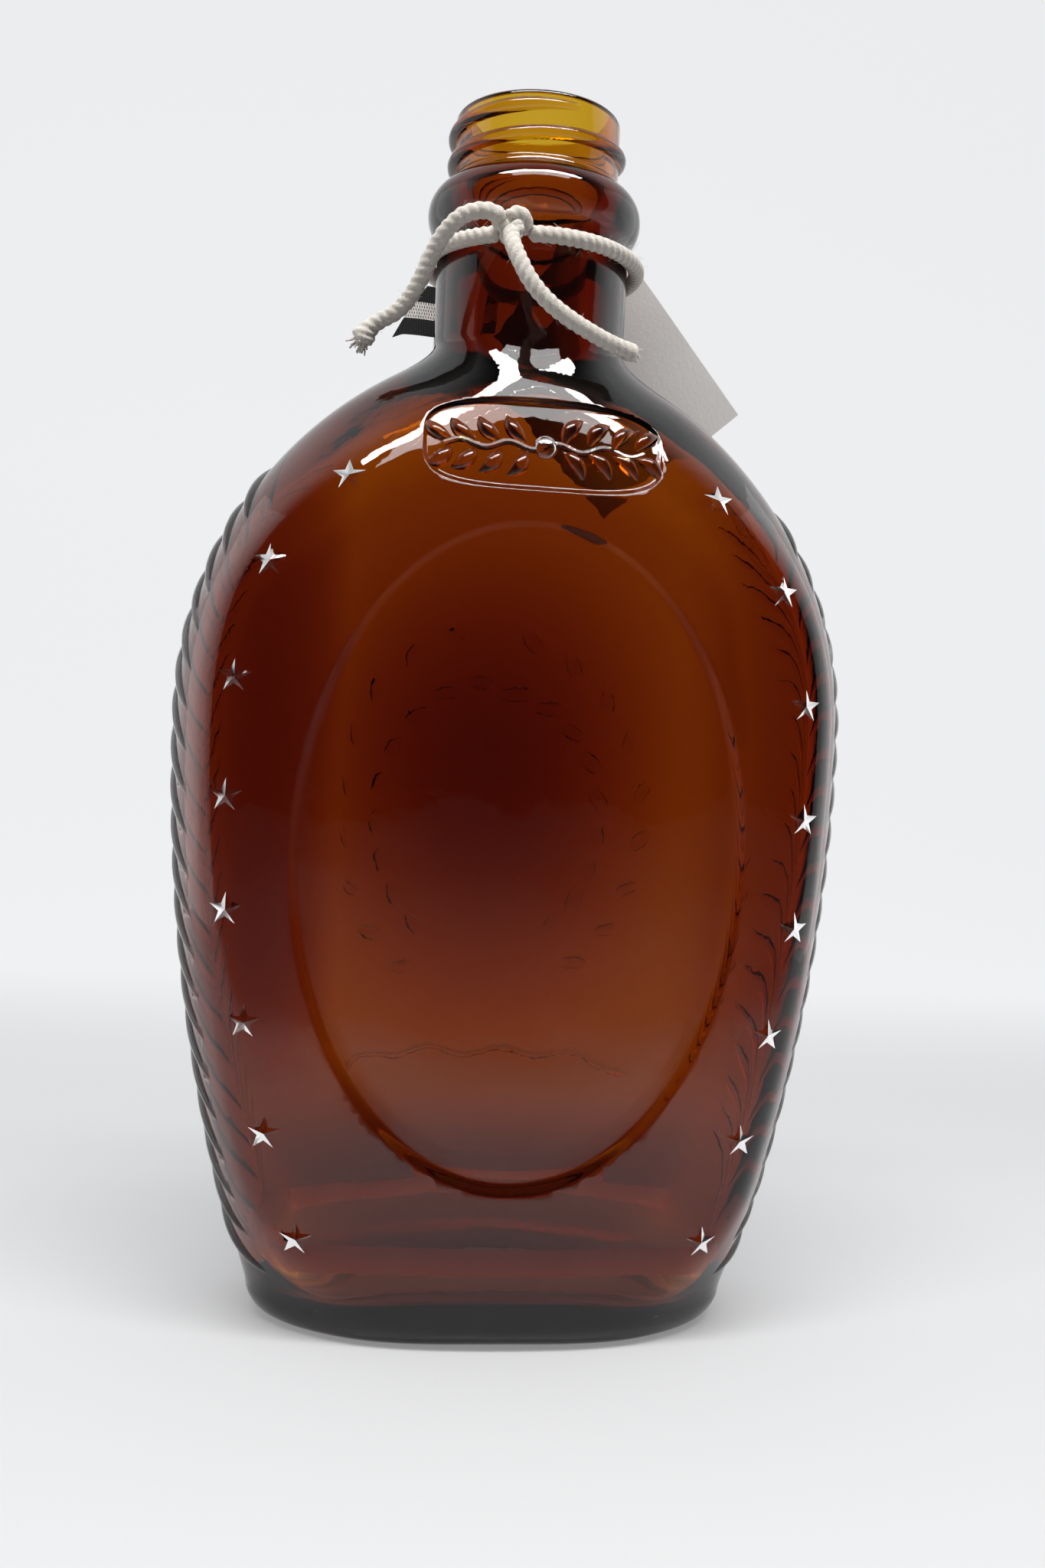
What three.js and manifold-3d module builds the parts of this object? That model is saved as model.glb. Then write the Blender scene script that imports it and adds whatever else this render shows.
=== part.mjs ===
// Flat oval glass flask with a screw neck, a cotton cord tied under its collar,
// and a hang tag with a ribbon behind the neck. Millimetres, +Z up, front face to -Y.
import * as THREE from 'three';
import { mergeVertices } from 'three/addons/utils/BufferGeometryUtils.js';
import Module from 'manifold-3d';

// ---- driving dimensions -------------------------------------------------------------

const HEIGHT = 184;             // base to sealing rim
const BODY_HALF_WIDTH = 50.8;   // widest glass, without the rope moulding
const BODY_HALF_DEPTH = 24;
const WIDEST_Z = 91;
const LOWER_RADIUS = 272;       // outline arc below the widest level
const SHOULDER_RADIUS = 60;     // outline arc above the widest level
const BASE_DEPTH_RATIO = 0.8;   // depth at the base, as a share of the greatest depth
const SECTION_POWER = 2.3;      // superellipse power of the plan section
const SHOULDER_POWER = 3.2;     // how square the face turns in to the shoulder
const WALL = 2.8;
const FLOOR = 4.6;              // glass thickness under the contents
const HEEL_RADIUS = 2.6;
const FOOT_RING = 6;            // width of the flat bearing ring
const PUSH_UP = 1.5;            // rise of the base inside the ring

const ROPE_HEIGHT = 0.9;        // rope moulding on each narrow side
const ROPE_HALF_WIDTH = 4;
const ROPE_LOW_Z = 6;
const ROPE_HIGH_Z = 132;

const NECK_RADIUS = 14.75;
const NECK_BLEND = 5;           // size of the fillet between shoulder and neck
const COLLAR_Z = 168.6;         // bead under the finish
const COLLAR_TUBE = 5;
const COLLAR_RING = 11.45;
const FINISH_RADIUS = 12.75;    // plain wall under the thread
const BORE_RADIUS = 9.75;
const NECK_INNER_RADIUS = 11.7;
const RIM_ROUND = 0.6;

const THREAD_RADIUS = 13.8;     // 28 mm continuous-thread finish
const THREAD_PITCH = 4.23;      // six turns to the inch
const THREAD_TURNS = 1.5;
const THREAD_WIDTH = 2.2;
const THREAD_TOP_Z = 182;
const THREAD_START = -1.25;     // azimuth in radians, front right

const CORD_DIAMETER = 2.5;
const LOOP_RADIUS = 16.2;
const LOOP_BULGE = 2.1;         // the loop stands off the neck where the tag hangs on it
const LOOP_Z = 161.2;
const KNOT_AZIMUTH = -107 * Math.PI / 180;
const KNOT_RADIUS = 17.7;       // knot centre from the neck axis
const KNOT_SIZE = [3.9, 2.4, 3.1];   // half sizes: along the loop, radial, upright
const CORD_GAP = 0.35;

const TAG_WIDTH = 31;
const TAG_LENGTH = 37;
const TAG_THICKNESS = 0.4;
const TAG_LEAN = Math.atan(0.2);    // leans back along the rear shoulder
const TAG_TURN = 42 * Math.PI / 180;   // turned about its hole, lower end to the right
const TAG_HOLE = [5.9, 16.5, 159.9];
const TAG_HOLE_RADIUS = 3.4;
const HOLE_FROM_TOP = 4.5;      // the hole is on the middle line of the card

const RIBBON_WIDTH = 10;
const RIBBON_THICKNESS = 0.5;
const RIBBON_TIP_X = -20.8;
const RIBBON_END_X = -8.2;
const RIBBON_LOW_Z = 155;
const RIBBON_Y = 18.1;          // near face at the ribbon's lower edge
const RIBBON_LEAN = 20 * Math.PI / 180;

const AROUND = 48;              // facets around the bottle

// ---- solids and booleans ------------------------------------------------------------

const wasm = await Module();
wasm.setup();

function toSolid(geometry) {
  const plain = geometry.clone();
  plain.deleteAttribute('normal');
  plain.deleteAttribute('uv');
  const merged = mergeVertices(plain, 1e-4);
  return new wasm.Manifold(new wasm.Mesh({
    numProp: 3,
    vertProperties: new Float32Array(merged.attributes.position.array),
    triVerts: new Uint32Array(merged.index.array),
  }));
}

function toGeometry(solid) {
  const mesh = solid.getMesh();
  const geometry = new THREE.BufferGeometry();
  geometry.setAttribute('position', new THREE.BufferAttribute(mesh.vertProperties, 3));
  geometry.setIndex(new THREE.BufferAttribute(mesh.triVerts, 1));
  return geometry;
}

// A closed skin over a stack of rings that all have the same number of points. The first
// and last rings are closed by a fan to their centre, and the stack runs so that faces
// point outwards when the rings turn anticlockwise seen from above and the stack rises.
function skin(rings) {
  const count = rings[0].length;
  const points = rings.flat();
  const triangles = [];
  for (let ring = 0; ring + 1 < rings.length; ring += 1) {
    for (let side = 0; side < count; side += 1) {
      const a = ring * count + side;
      const b = ring * count + (side + 1) % count;
      triangles.push(a, b, b + count);
      triangles.push(a, b + count, a + count);
    }
  }
  const fan = (ring, flip) => {
    const centre = new THREE.Vector3();
    rings[ring].forEach((point) => centre.addScaledVector(point, 1 / count));
    points.push(centre);
    for (let side = 0; side < count; side += 1) {
      const a = ring * count + side;
      const b = ring * count + (side + 1) % count;
      triangles.push(...(flip ? [points.length - 1, b, a] : [points.length - 1, a, b]));
    }
  };
  fan(0, true);
  fan(rings.length - 1, false);
  const geometry = new THREE.BufferGeometry().setFromPoints(points);
  geometry.setIndex(triangles);
  return geometry;
}

// A tube of the given diameter along a curve, with flat ends.
function tube(curve, diameter, sides, steps) {
  const section = new THREE.Shape();
  for (let side = 0; side < sides; side += 1) {
    const angle = 2 * Math.PI * side / sides;
    const point = [Math.cos(angle) * diameter / 2, Math.sin(angle) * diameter / 2];
    if (side === 0) section.moveTo(...point);
    else section.lineTo(...point);
  }
  return new THREE.ExtrudeGeometry(section, { extrudePath: curve, steps, bevelEnabled: false });
}

// ---- the glass ----------------------------------------------------------------------

// Half width of the body at a level: two arcs that meet at the widest level. An inset
// gives the inside of a wall of that thickness.
function halfWidth(z, inset) {
  const radius = z > WIDEST_Z ? SHOULDER_RADIUS - inset : LOWER_RADIUS - inset;
  const centre = BODY_HALF_WIDTH - inset - radius;
  const rise = z - WIDEST_Z;
  return centre + Math.sqrt(Math.max(radius * radius - rise * rise, 0));
}

// Half depth: it tapers slightly to the base, and turns in over the shoulder.
function halfDepth(z, inset) {
  const depth = BODY_HALF_DEPTH - inset;
  if (z <= WIDEST_Z) {
    const drop = (WIDEST_Z - z) / WIDEST_Z;
    return depth - BODY_HALF_DEPTH * (1 - BASE_DEPTH_RATIO) * drop * drop;
  }
  const top = Math.sqrt(SHOULDER_RADIUS ** 2 - (SHOULDER_RADIUS - BODY_HALF_WIDTH) ** 2);
  const share = (z - WIDEST_Z) / (top - inset);
  return depth * Math.max(1 - share ** SHOULDER_POWER, 0) ** (1 / SHOULDER_POWER);
}

function smoothMax(a, b, blend) {
  const overlap = Math.max(blend - Math.abs(a - b), 0) / blend;
  return Math.max(a, b) + overlap * overlap * blend / 4;
}

// One level of the body: a superellipse blended into the round neck. The corners of the
// ring keep the same share of the way round at every level.
function bodyRing(z, inset, wall, neckRadius, rope) {
  const wide = Math.max(halfWidth(z, wall) - inset, 0.01);
  const deep = Math.max(halfDepth(z, wall) - inset, 0.01);
  const spreadWide = Math.max(wide, neckRadius);
  const spreadDeep = Math.max(deep, neckRadius);
  const ring = [];
  for (let side = 0; side < AROUND; side += 1) {
    const turn = 2 * Math.PI * side / AROUND;
    const direction = new THREE.Vector2(spreadWide * Math.cos(turn), spreadDeep * Math.sin(turn));
    direction.normalize();
    const sum = Math.abs(direction.x / wide) ** SECTION_POWER
      + Math.abs(direction.y / deep) ** SECTION_POWER;
    const radius = smoothMax(sum ** (-1 / SECTION_POWER), neckRadius, NECK_BLEND);
    const y = radius * direction.y;
    const ridge = rope * ROPE_HEIGHT * Math.max(0, 1 - (y / ROPE_HALF_WIDTH) ** 2);
    ring.push(new THREE.Vector3((radius + ridge) * direction.x, y, z));
  }
  return ring;
}

function roundRing(radius, z) {
  const ring = [];
  for (let side = 0; side < AROUND; side += 1) {
    const turn = 2 * Math.PI * side / AROUND;
    ring.push(new THREE.Vector3(radius * Math.cos(turn), radius * Math.sin(turn), z));
  }
  return ring;
}

// Levels of the body between two heights, closer together over the shoulder because they
// are spaced evenly along the outline's arcs.
function bodyLevels(low, high, lowerSteps, upperSteps, inset) {
  const levels = [];
  for (let step = 0; step < lowerSteps; step += 1) {
    levels.push(low + (WIDEST_Z - low) * step / lowerSteps);
  }
  const radius = SHOULDER_RADIUS - inset;
  const last = Math.asin(Math.min((high - WIDEST_Z) / radius, 1));
  for (let step = 0; step <= upperSteps; step += 1) {
    levels.push(WIDEST_Z + radius * Math.sin(last * step / upperSteps));
  }
  return levels;
}

function outerRings() {
  const rings = [];
  const footInset = HEEL_RADIUS + FOOT_RING;
  rings.push(bodyRing(0, footInset + 2 * PUSH_UP, 0, 0.01, 0).map((p) => p.setZ(PUSH_UP)));
  rings.push(bodyRing(0, footInset, 0, 0.01, 0));
  for (let step = 0; step < 4; step += 1) {
    const angle = Math.PI / 2 * step / 4;
    const inset = HEEL_RADIUS * (1 - Math.sin(angle));
    rings.push(bodyRing(HEEL_RADIUS * (1 - Math.cos(angle)), inset, 0, 0.01, 0));
  }
  for (const z of bodyLevels(HEEL_RADIUS, 149.5, 8, 15, 0)) {
    const roped = z > ROPE_LOW_Z && z < ROPE_HIGH_Z ? 1 : 0;
    rings.push(bodyRing(z, 0, 0, NECK_RADIUS, roped));
  }
  rings.push(roundRing(NECK_RADIUS, 152.5));
  const low = -Math.acos((NECK_RADIUS - COLLAR_RING) / COLLAR_TUBE);
  const high = Math.acos((FINISH_RADIUS - COLLAR_RING) / COLLAR_TUBE);
  for (let step = 0; step <= 8; step += 1) {
    const angle = low + (high - low) * step / 8;
    rings.push(roundRing(COLLAR_RING + COLLAR_TUBE * Math.cos(angle),
      COLLAR_Z + COLLAR_TUBE * Math.sin(angle)));
  }
  rings.push(roundRing(FINISH_RADIUS, HEIGHT - RIM_ROUND));
  rings.push(roundRing(FINISH_RADIUS - RIM_ROUND, HEIGHT));
  return rings;
}

function innerRings() {
  const rings = [];
  rings.push(roundRing(BORE_RADIUS + RIM_ROUND, HEIGHT));
  rings.push(roundRing(BORE_RADIUS, HEIGHT - RIM_ROUND));
  rings.push(roundRing(BORE_RADIUS, 165));
  rings.push(roundRing(NECK_INNER_RADIUS, 158));
  for (const z of bodyLevels(FLOOR + HEEL_RADIUS, 147.5, 5, 8, WALL).reverse()) {
    rings.push(bodyRing(z, 0, WALL, NECK_INNER_RADIUS, 0));
  }
  rings.push(bodyRing(FLOOR + 0.6, 1, WALL, 0.01, 0));
  rings.push(bodyRing(FLOOR, HEEL_RADIUS, WALL, 0.01, 0));
  return rings;
}

// The thread ridge: a rounded rib on a falling helix, sunk into the finish wall.
function threadSolid() {
  const steps = Math.round(THREAD_TURNS * 28);
  const rings = [];
  for (let step = 0; step <= steps; step += 1) {
    const turned = 2 * Math.PI * THREAD_TURNS * step / steps;
    const fade = Math.min(1, step / 4, (steps - step) / 4);
    const azimuth = THREAD_START - turned;
    const z = THREAD_TOP_Z - THREAD_PITCH * turned / (2 * Math.PI);
    const crest = FINISH_RADIUS + (THREAD_RADIUS - FINISH_RADIUS) * Math.max(fade, 0.05);
    const section = [[FINISH_RADIUS - 0.6, -0.6], [crest - 0.3, -0.34], [crest, 0],
      [crest - 0.3, 0.34], [FINISH_RADIUS - 0.6, 0.6]];
    rings.push(section.map(([radius, up]) => new THREE.Vector3(
      radius * Math.cos(azimuth), radius * Math.sin(azimuth), z + up * THREAD_WIDTH)));
  }
  return toSolid(skin(rings));
}

function glassBottle() {
  const shell = toSolid(skin([...outerRings(), ...innerRings()]));
  return toGeometry(shell.add(threadSolid()));
}

// ---- the cord -----------------------------------------------------------------------

// Once round the neck, level, from one side of the knot to the other. It lies against
// the glass except behind, where it passes through the tag and stays outside the card.
class LoopCurve extends THREE.Curve {
  getPoint(share, target = new THREE.Vector3()) {
    const clear = (KNOT_SIZE[0] + CORD_GAP) / LOOP_RADIUS;
    const turn = clear + (2 * Math.PI - 2 * clear) * share;
    const azimuth = KNOT_AZIMUTH + turn;
    const degrees = azimuth * 180 / Math.PI;
    const bulge = THREE.MathUtils.smoothstep(degrees, 62, 80)
      - THREE.MathUtils.smoothstep(degrees, 108, 150);
    const radius = LOOP_RADIUS + LOOP_BULGE * bulge;
    return target.set(radius * Math.cos(azimuth), radius * Math.sin(azimuth), LOOP_Z);
  }
}

function cordLoop() {
  return tube(new LoopCurve(), CORD_DIAMETER, 8, 44);
}

function cordKnot() {
  const geometry = new THREE.SphereGeometry(1, 12, 8);
  geometry.scale(KNOT_SIZE[1], KNOT_SIZE[0], KNOT_SIZE[2]);
  geometry.rotateZ(KNOT_AZIMUTH);
  geometry.translate(KNOT_RADIUS * Math.cos(KNOT_AZIMUTH), KNOT_RADIUS * Math.sin(KNOT_AZIMUTH),
    LOOP_Z + 0.5);
  return geometry;
}

// Routes of the two free tails, from the knot to the cut end.
const LEFT_TAIL = [
  [-8.6, -18.6, 164.3], [-10.6, -18.2, 164.3], [-12.7, -17.3, 163.2], [-14.5, -16.0, 161.2],
  [-15.7, -14.6, 158.9], [-16.8, -13.2, 156.5], [-18.0, -11.8, 154.0], [-19.4, -10.5, 151.8],
  [-21.2, -9.4, 150.1], [-23.2, -8.4, 149.1], [-24.9, -7.7, 147.8], [-26.1, -7.3, 145.8],
];
const RIGHT_TAIL = [
  [-5.4, -19.7, 158.8], [-5.1, -20.9, 157.2], [-4.3, -21.7, 155.2], [-3.2, -22.1, 153.1],
  [-1.6, -22.1, 151.1], [0.6, -21.7, 149.3], [3.2, -20.9, 147.9], [6.0, -19.8, 146.8],
  [8.8, -18.4, 146.0], [11.5, -16.9, 145.5], [14.1, -15.4, 145.1],
];

function cordTail(route) {
  const curve = new THREE.CatmullRomCurve3(route.map((point) => new THREE.Vector3(...point)));
  return tube(curve, CORD_DIAMETER, 8, 12);
}

// ---- the tag and its ribbon ---------------------------------------------------------

// The card's own frame: x across and y up in the card's plane, z out of its back, with
// the origin at the hole.
function tagFrame() {
  const lean = new THREE.Matrix4().makeRotationX(Math.PI / 2 + TAG_LEAN);
  const place = new THREE.Matrix4().makeTranslation(...TAG_HOLE);
  return place.multiply(lean);
}

function paperTag() {
  const outline = new THREE.Shape();
  const right = TAG_WIDTH / 2;
  const left = -TAG_WIDTH / 2;
  const top = HOLE_FROM_TOP;
  const bottom = HOLE_FROM_TOP - TAG_LENGTH;
  const corners = [[left, bottom], [right, bottom], [right, top], [left, top]];
  corners.forEach(([x, y], index) => {
    const turnedX = x * Math.cos(TAG_TURN) - y * Math.sin(TAG_TURN);
    const turnedY = x * Math.sin(TAG_TURN) + y * Math.cos(TAG_TURN);
    if (index === 0) outline.moveTo(turnedX, turnedY);
    else outline.lineTo(turnedX, turnedY);
  });
  const hole = new THREE.Path();
  hole.absarc(0, 0, TAG_HOLE_RADIUS, 0, 2 * Math.PI, true);
  outline.holes.push(hole);
  const geometry = new THREE.ExtrudeGeometry(outline, {
    depth: TAG_THICKNESS, bevelEnabled: false, curveSegments: 12,
  });
  geometry.translate(0, 0, -TAG_THICKNESS / 2);
  return geometry.applyMatrix4(tagFrame());
}

function tagRibbon() {
  const length = RIBBON_END_X - RIBBON_TIP_X;
  const geometry = new THREE.BoxGeometry(length, RIBBON_THICKNESS, RIBBON_WIDTH, 6, 1, 1);
  geometry.translate(length / 2, RIBBON_THICKNESS / 2, RIBBON_WIDTH / 2);
  geometry.rotateX(-RIBBON_LEAN);
  geometry.translate(RIBBON_TIP_X, RIBBON_Y, RIBBON_LOW_Z);
  return geometry;
}

// ---- the assembly -------------------------------------------------------------------

const amberGlass = new THREE.MeshStandardMaterial({
  color: 0x6b2f06, roughness: 0.06, metalness: 0, transparent: true, opacity: 0.6,
});
const cotton = new THREE.MeshStandardMaterial({ color: 0xe4ded3, roughness: 0.95, metalness: 0 });
const card = new THREE.MeshStandardMaterial({ color: 0xcfc9c6, roughness: 0.9, metalness: 0 });
const ribbonWeave = new THREE.MeshStandardMaterial({ color: 0x1b1b1c, roughness: 0.8, metalness: 0 });

const flask = new THREE.Group();

function add(name, geometry, material) {
  const mesh = new THREE.Mesh(geometry, material);
  mesh.name = name;
  flask.add(mesh);
}

add('glass_bottle', glassBottle(), amberGlass);
add('cord_loop', cordLoop(), cotton);
add('cord_knot', cordKnot(), cotton);
add('cord_tail_left', cordTail(LEFT_TAIL), cotton);
add('cord_tail_right', cordTail(RIGHT_TAIL), cotton);
add('paper_tag', paperTag(), card);
add('tag_ribbon', tagRibbon(), ribbonWeave);

export default flask;
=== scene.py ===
"""A flat oval amber glass flask with a cotton cord, a hang tag and a ribbon end at its neck,
in a pale studio. Lengths in the tables below are in millimetres, in the CAD frame: +Z up,
the front face towards -Y. Objects are made in metres."""

import math

import bpy
import numpy as np
from bpy.props import FloatProperty, FloatVectorProperty, IntProperty, PointerProperty
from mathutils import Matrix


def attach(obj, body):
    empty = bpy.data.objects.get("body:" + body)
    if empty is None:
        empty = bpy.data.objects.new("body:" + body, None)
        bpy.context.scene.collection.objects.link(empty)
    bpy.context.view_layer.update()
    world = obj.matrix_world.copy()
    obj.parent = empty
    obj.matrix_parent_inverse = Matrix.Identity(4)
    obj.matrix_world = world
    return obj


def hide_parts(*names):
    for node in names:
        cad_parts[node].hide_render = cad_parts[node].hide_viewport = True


bl_info = {
    "name": "Oval Glass Flask",
    "version": (1, 0, 0),
    "blender": (4, 5, 0),
    "location": "View3D > Sidebar > Flask",
    "description": "Builds a tied and tagged glass flask and the studio it stands in",
    "category": "Add Mesh",
}

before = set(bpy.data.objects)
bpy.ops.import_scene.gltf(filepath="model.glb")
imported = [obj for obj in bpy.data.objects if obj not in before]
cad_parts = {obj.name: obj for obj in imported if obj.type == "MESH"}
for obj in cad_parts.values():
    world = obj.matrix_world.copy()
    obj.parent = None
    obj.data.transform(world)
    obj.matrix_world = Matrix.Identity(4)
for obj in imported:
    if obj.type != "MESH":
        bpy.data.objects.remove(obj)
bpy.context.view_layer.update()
MM = 0.001

# ---- sizes of the glass, in millimetres ------------------------------------------------

HEIGHT = 184.0
HALF_WIDTH = 50.8
HALF_DEPTH = 24.0
WIDEST = 91.0
UPPER_ARC = 60.0
LOWER_ARC = 272.0
NECK = 14.75
COLLAR_Z, COLLAR_RING, COLLAR_TUBE = 168.6, 11.45, 5.0
FINISH = 12.75
BORE = 10.3
HEEL = 5.0
FOOT_INSET = 10.5
FLOOR_CORNER = 6.0
THREAD_TOP = 182.0
THREAD_PITCH = 4.23
THREAD_TURNS = 1.55
ROPE_PITCH = 6.0
ROPE_REACH = 12.5
CORD_LAY = 3.9
TAG_HOLE_RADIUS = 3.5
TAG_ABOVE_HOLE = 4.5
CARD_HALF = 0.2
RIBBON_HALF = 0.16
PANEL_CENTRE = (0.0, 71.0)
PANEL_HALF = (33.5, 48.5)
STARS = (
    (26.8, 124.0),
    (37.3, 111.3),
    (41.5, 94.8),
    (42.0, 78.0),
    (41.3, 62.0),
    (38.0, 46.2),
    (34.5, 30.6),
    (29.4, 15.7),
)

# ---- routes of the cord, in millimetres. The loop is the CAD's. Each tail starts inside the
# ---- knot, and the left one leaves it a little lower than the CAD's ----------------------

LOOP_Z = 161.2
LOOP_RADIUS = 16.2
LOOP_BULGE = 2.1
KNOT_AZIMUTH = math.radians(-107)
KNOT_RADIUS = 17.7
LEFT_TAIL = (
    (-6.4, -18.5, 162.0),
    (-8.6, -18.6, 162.9),
    (-10.6, -18.2, 162.9),
    (-12.7, -17.3, 162.2),
    (-14.5, -16.0, 160.6),
    (-15.7, -14.6, 158.9),
    (-16.8, -13.2, 156.5),
    (-18.0, -11.8, 154.0),
    (-19.4, -10.5, 151.8),
    (-21.2, -9.4, 150.1),
    (-23.2, -8.4, 149.1),
    (-24.9, -7.7, 147.8),
    (-26.1, -7.3, 145.8),
)
RIGHT_TAIL = (
    (-5.4, -18.3, 160.9),
    (-5.4, -19.7, 158.8),
    (-5.1, -20.9, 157.2),
    (-4.3, -21.7, 155.2),
    (-3.2, -22.1, 153.1),
    (-1.6, -22.1, 151.1),
    (0.6, -21.7, 149.3),
    (3.2, -20.9, 147.9),
    (6.0, -19.8, 146.8),
    (8.8, -18.4, 146.0),
    (11.5, -16.9, 145.5),
    (14.1, -15.4, 145.1),
)
TAG_HOLE = (5.9, 16.5, 159.9)
TAG_LEAN = math.atan(0.2)
TAG_TURN = math.radians(42)


# ---- meshes from whole arrays ------------------------------------------------------------


def object_from(name, points, faces, smooth=True):
    """A mesh object in the scene, from an array of points in millimetres and a list of face
    index arrays, each of triangles or of quads."""
    mesh = bpy.data.meshes.new(name)
    points = np.asarray(points, dtype=np.float64) * MM
    faces = [np.asarray(block, dtype=np.int64) for block in faces if len(block)]
    mesh.vertices.add(len(points))
    mesh.vertices.foreach_set("co", points.ravel())
    loops = np.concatenate([block.ravel() for block in faces])
    sizes = np.concatenate([np.full(len(block), block.shape[1]) for block in faces])
    mesh.loops.add(len(loops))
    mesh.loops.foreach_set("vertex_index", loops.astype(np.int32))
    mesh.polygons.add(len(sizes))
    starts = np.concatenate([[0], np.cumsum(sizes)[:-1]])
    mesh.polygons.foreach_set("loop_start", starts.astype(np.int32))
    mesh.polygons.foreach_set("use_smooth", np.full(len(sizes), smooth))
    mesh.update(calc_edges=True)
    mesh.validate()
    made = bpy.data.objects.new(name, mesh)
    bpy.context.scene.collection.objects.link(made)
    return made


def ring_faces(rows, columns, closed=False):
    """Quads of a stack of closed rings, facing out when the rings turn anticlockwise seen
    from above and the stack rises. A closed stack joins its last ring to its first."""
    steps = np.arange(rows if closed else rows - 1)
    row, column = np.meshgrid(steps, np.arange(columns), indexing="ij")
    here, above = row * columns, (row + 1) % rows * columns
    beside = (column + 1) % columns
    quads = [here + column, here + beside, above + beside, above + column]
    return np.stack(quads, axis=-1).reshape(-1, 4)


def closed_skin(rings):
    """Points and faces of a closed skin over an array of rings (row, column, xyz): quads
    between the rings, and a fan to the mean point of the first ring and of the last."""
    rows, columns = rings.shape[:2]
    ends = np.stack([rings[0].mean(axis=0), rings[-1].mean(axis=0)])
    points = np.concatenate([rings.reshape(-1, 3), ends])
    column = np.arange(columns)
    beside = (column + 1) % columns
    low = np.full(columns, rows * columns)
    last = (rows - 1) * columns
    fans = np.concatenate(
        [
            np.stack([low, beside, column], axis=-1),
            np.stack([low + 1, last + column, last + beside], axis=-1),
        ]
    )
    return points, [ring_faces(rows, columns), fans]


def gather(parts):
    """Several (points, faces) pairs as one."""
    points = []
    faces = []
    first = 0
    for part_points, part_faces in parts:
        points.append(part_points)
        faces.extend(block + first for block in part_faces)
        first += len(part_points)
    return np.concatenate(points), faces


def thin_slab(front, back):
    """Points and faces of a closed slab between two grids (row, column, xyz): both grids,
    and a band of quads round their edges."""
    rows, columns = front.shape[:2]
    count = rows * columns
    row, column = np.meshgrid(np.arange(rows - 1), np.arange(columns - 1), indexing="ij")
    here = (row * columns + column).ravel()
    sheet = np.stack([here, here + 1, here + columns + 1, here + columns], axis=-1)
    edge = np.concatenate(
        [
            np.arange(columns),
            np.arange(2, rows + 1) * columns - 1,
            (rows - 1) * columns + np.arange(columns - 2, -1, -1),
            np.arange(rows - 2, 0, -1) * columns,
        ]
    )
    after = np.roll(edge, -1)
    rim = np.stack([edge, edge + count, after + count, after], axis=-1)
    points = np.concatenate([front, back]).reshape(-1, 3)
    return points, [sheet, sheet[:, ::-1] + count, rim]


def smoothstep(value, low, high):
    """0 below low, 1 above high and a cubic ease between them."""
    share = np.clip((value - low) / (high - low), 0.0, 1.0)
    return share * share * (3.0 - 2.0 * share)


def soft_max(a, b, blend):
    """The larger of a and b, rounded where they differ by less than blend."""
    overlap = np.maximum(blend - np.abs(a - b), 0.0) / blend
    return np.maximum(a, b) + overlap * overlap * blend / 4.0


def soft_min(a, b, blend):
    """The smaller of a and b, rounded where they differ by less than blend."""
    return -soft_max(-a, -b, blend)


def along(route, step):
    """Points at an even spacing along a smooth line through a route's points: each span is
    a cubic whose ends point along the line between the neighbouring points."""
    route = np.asarray(route, dtype=float)
    padded = np.concatenate([[2 * route[0] - route[1]], route, [2 * route[-1] - route[-2]]])
    share = np.linspace(0.0, 1.0, 40, endpoint=False)[:, None]
    spans = []
    for before, start, end, after in zip(padded, padded[1:], padded[2:], padded[3:]):
        leave = (end - before) / 2
        arrive = (after - start) / 2
        spans.append(
            (2 * share**3 - 3 * share**2 + 1) * start
            + (share**3 - 2 * share**2 + share) * leave
            + (3 * share**2 - 2 * share**3) * end
            + (share**3 - share**2) * arrive
        )
    line = np.concatenate(spans + [route[-1:]])
    length = np.concatenate([[0], np.cumsum(np.linalg.norm(np.diff(line, axis=0), axis=1))])
    even = np.linspace(0, length[-1], max(int(length[-1] / step), 2) + 1)
    return np.stack([np.interp(even, length, line[:, axis]) for axis in range(3)], axis=1)


def frames_along(line, closed=False):
    """Tangent, side and up vectors along a line, carried from each point to the next with as
    little turning as possible."""
    if closed:
        tangent = np.roll(line, -1, axis=0) - np.roll(line, 1, axis=0)
    else:
        tangent = np.gradient(line, axis=0)
    tangent /= np.linalg.norm(tangent, axis=1)[:, None]
    start = np.cross(tangent[0], (0.0, 0.0, 1.0))
    if np.linalg.norm(start) < 0.1:
        start = np.cross(tangent[0], (1.0, 0.0, 0.0))
    side = np.empty_like(line)
    current = start / np.linalg.norm(start)
    for index, direction in enumerate(tangent):
        current = current - direction * np.dot(current, direction)
        current = current / np.linalg.norm(current)
        side[index] = current
    return tangent, side, np.cross(tangent, side)


def tube_rings(line, radius, sides, closed=False):
    """Rings round a line. radius is one number, one per point of the line, or one per point
    and side."""
    _, side, up = frames_along(line, closed)
    angle = 2 * math.pi * np.arange(sides)[None, :] / sides
    radius = np.asarray(radius, dtype=float)
    if radius.ndim == 1:
        radius = radius[:, None]
    radius = np.broadcast_to(radius, (len(line), sides))
    around = np.cos(angle)[..., None] * side[:, None, :] + np.sin(angle)[..., None] * up[:, None, :]
    return line[:, None, :] + radius[..., None] * around


def drop(obj):
    """Removes an object and its mesh."""
    mesh = obj.data
    bpy.data.objects.remove(obj)
    bpy.data.meshes.remove(mesh)


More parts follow.
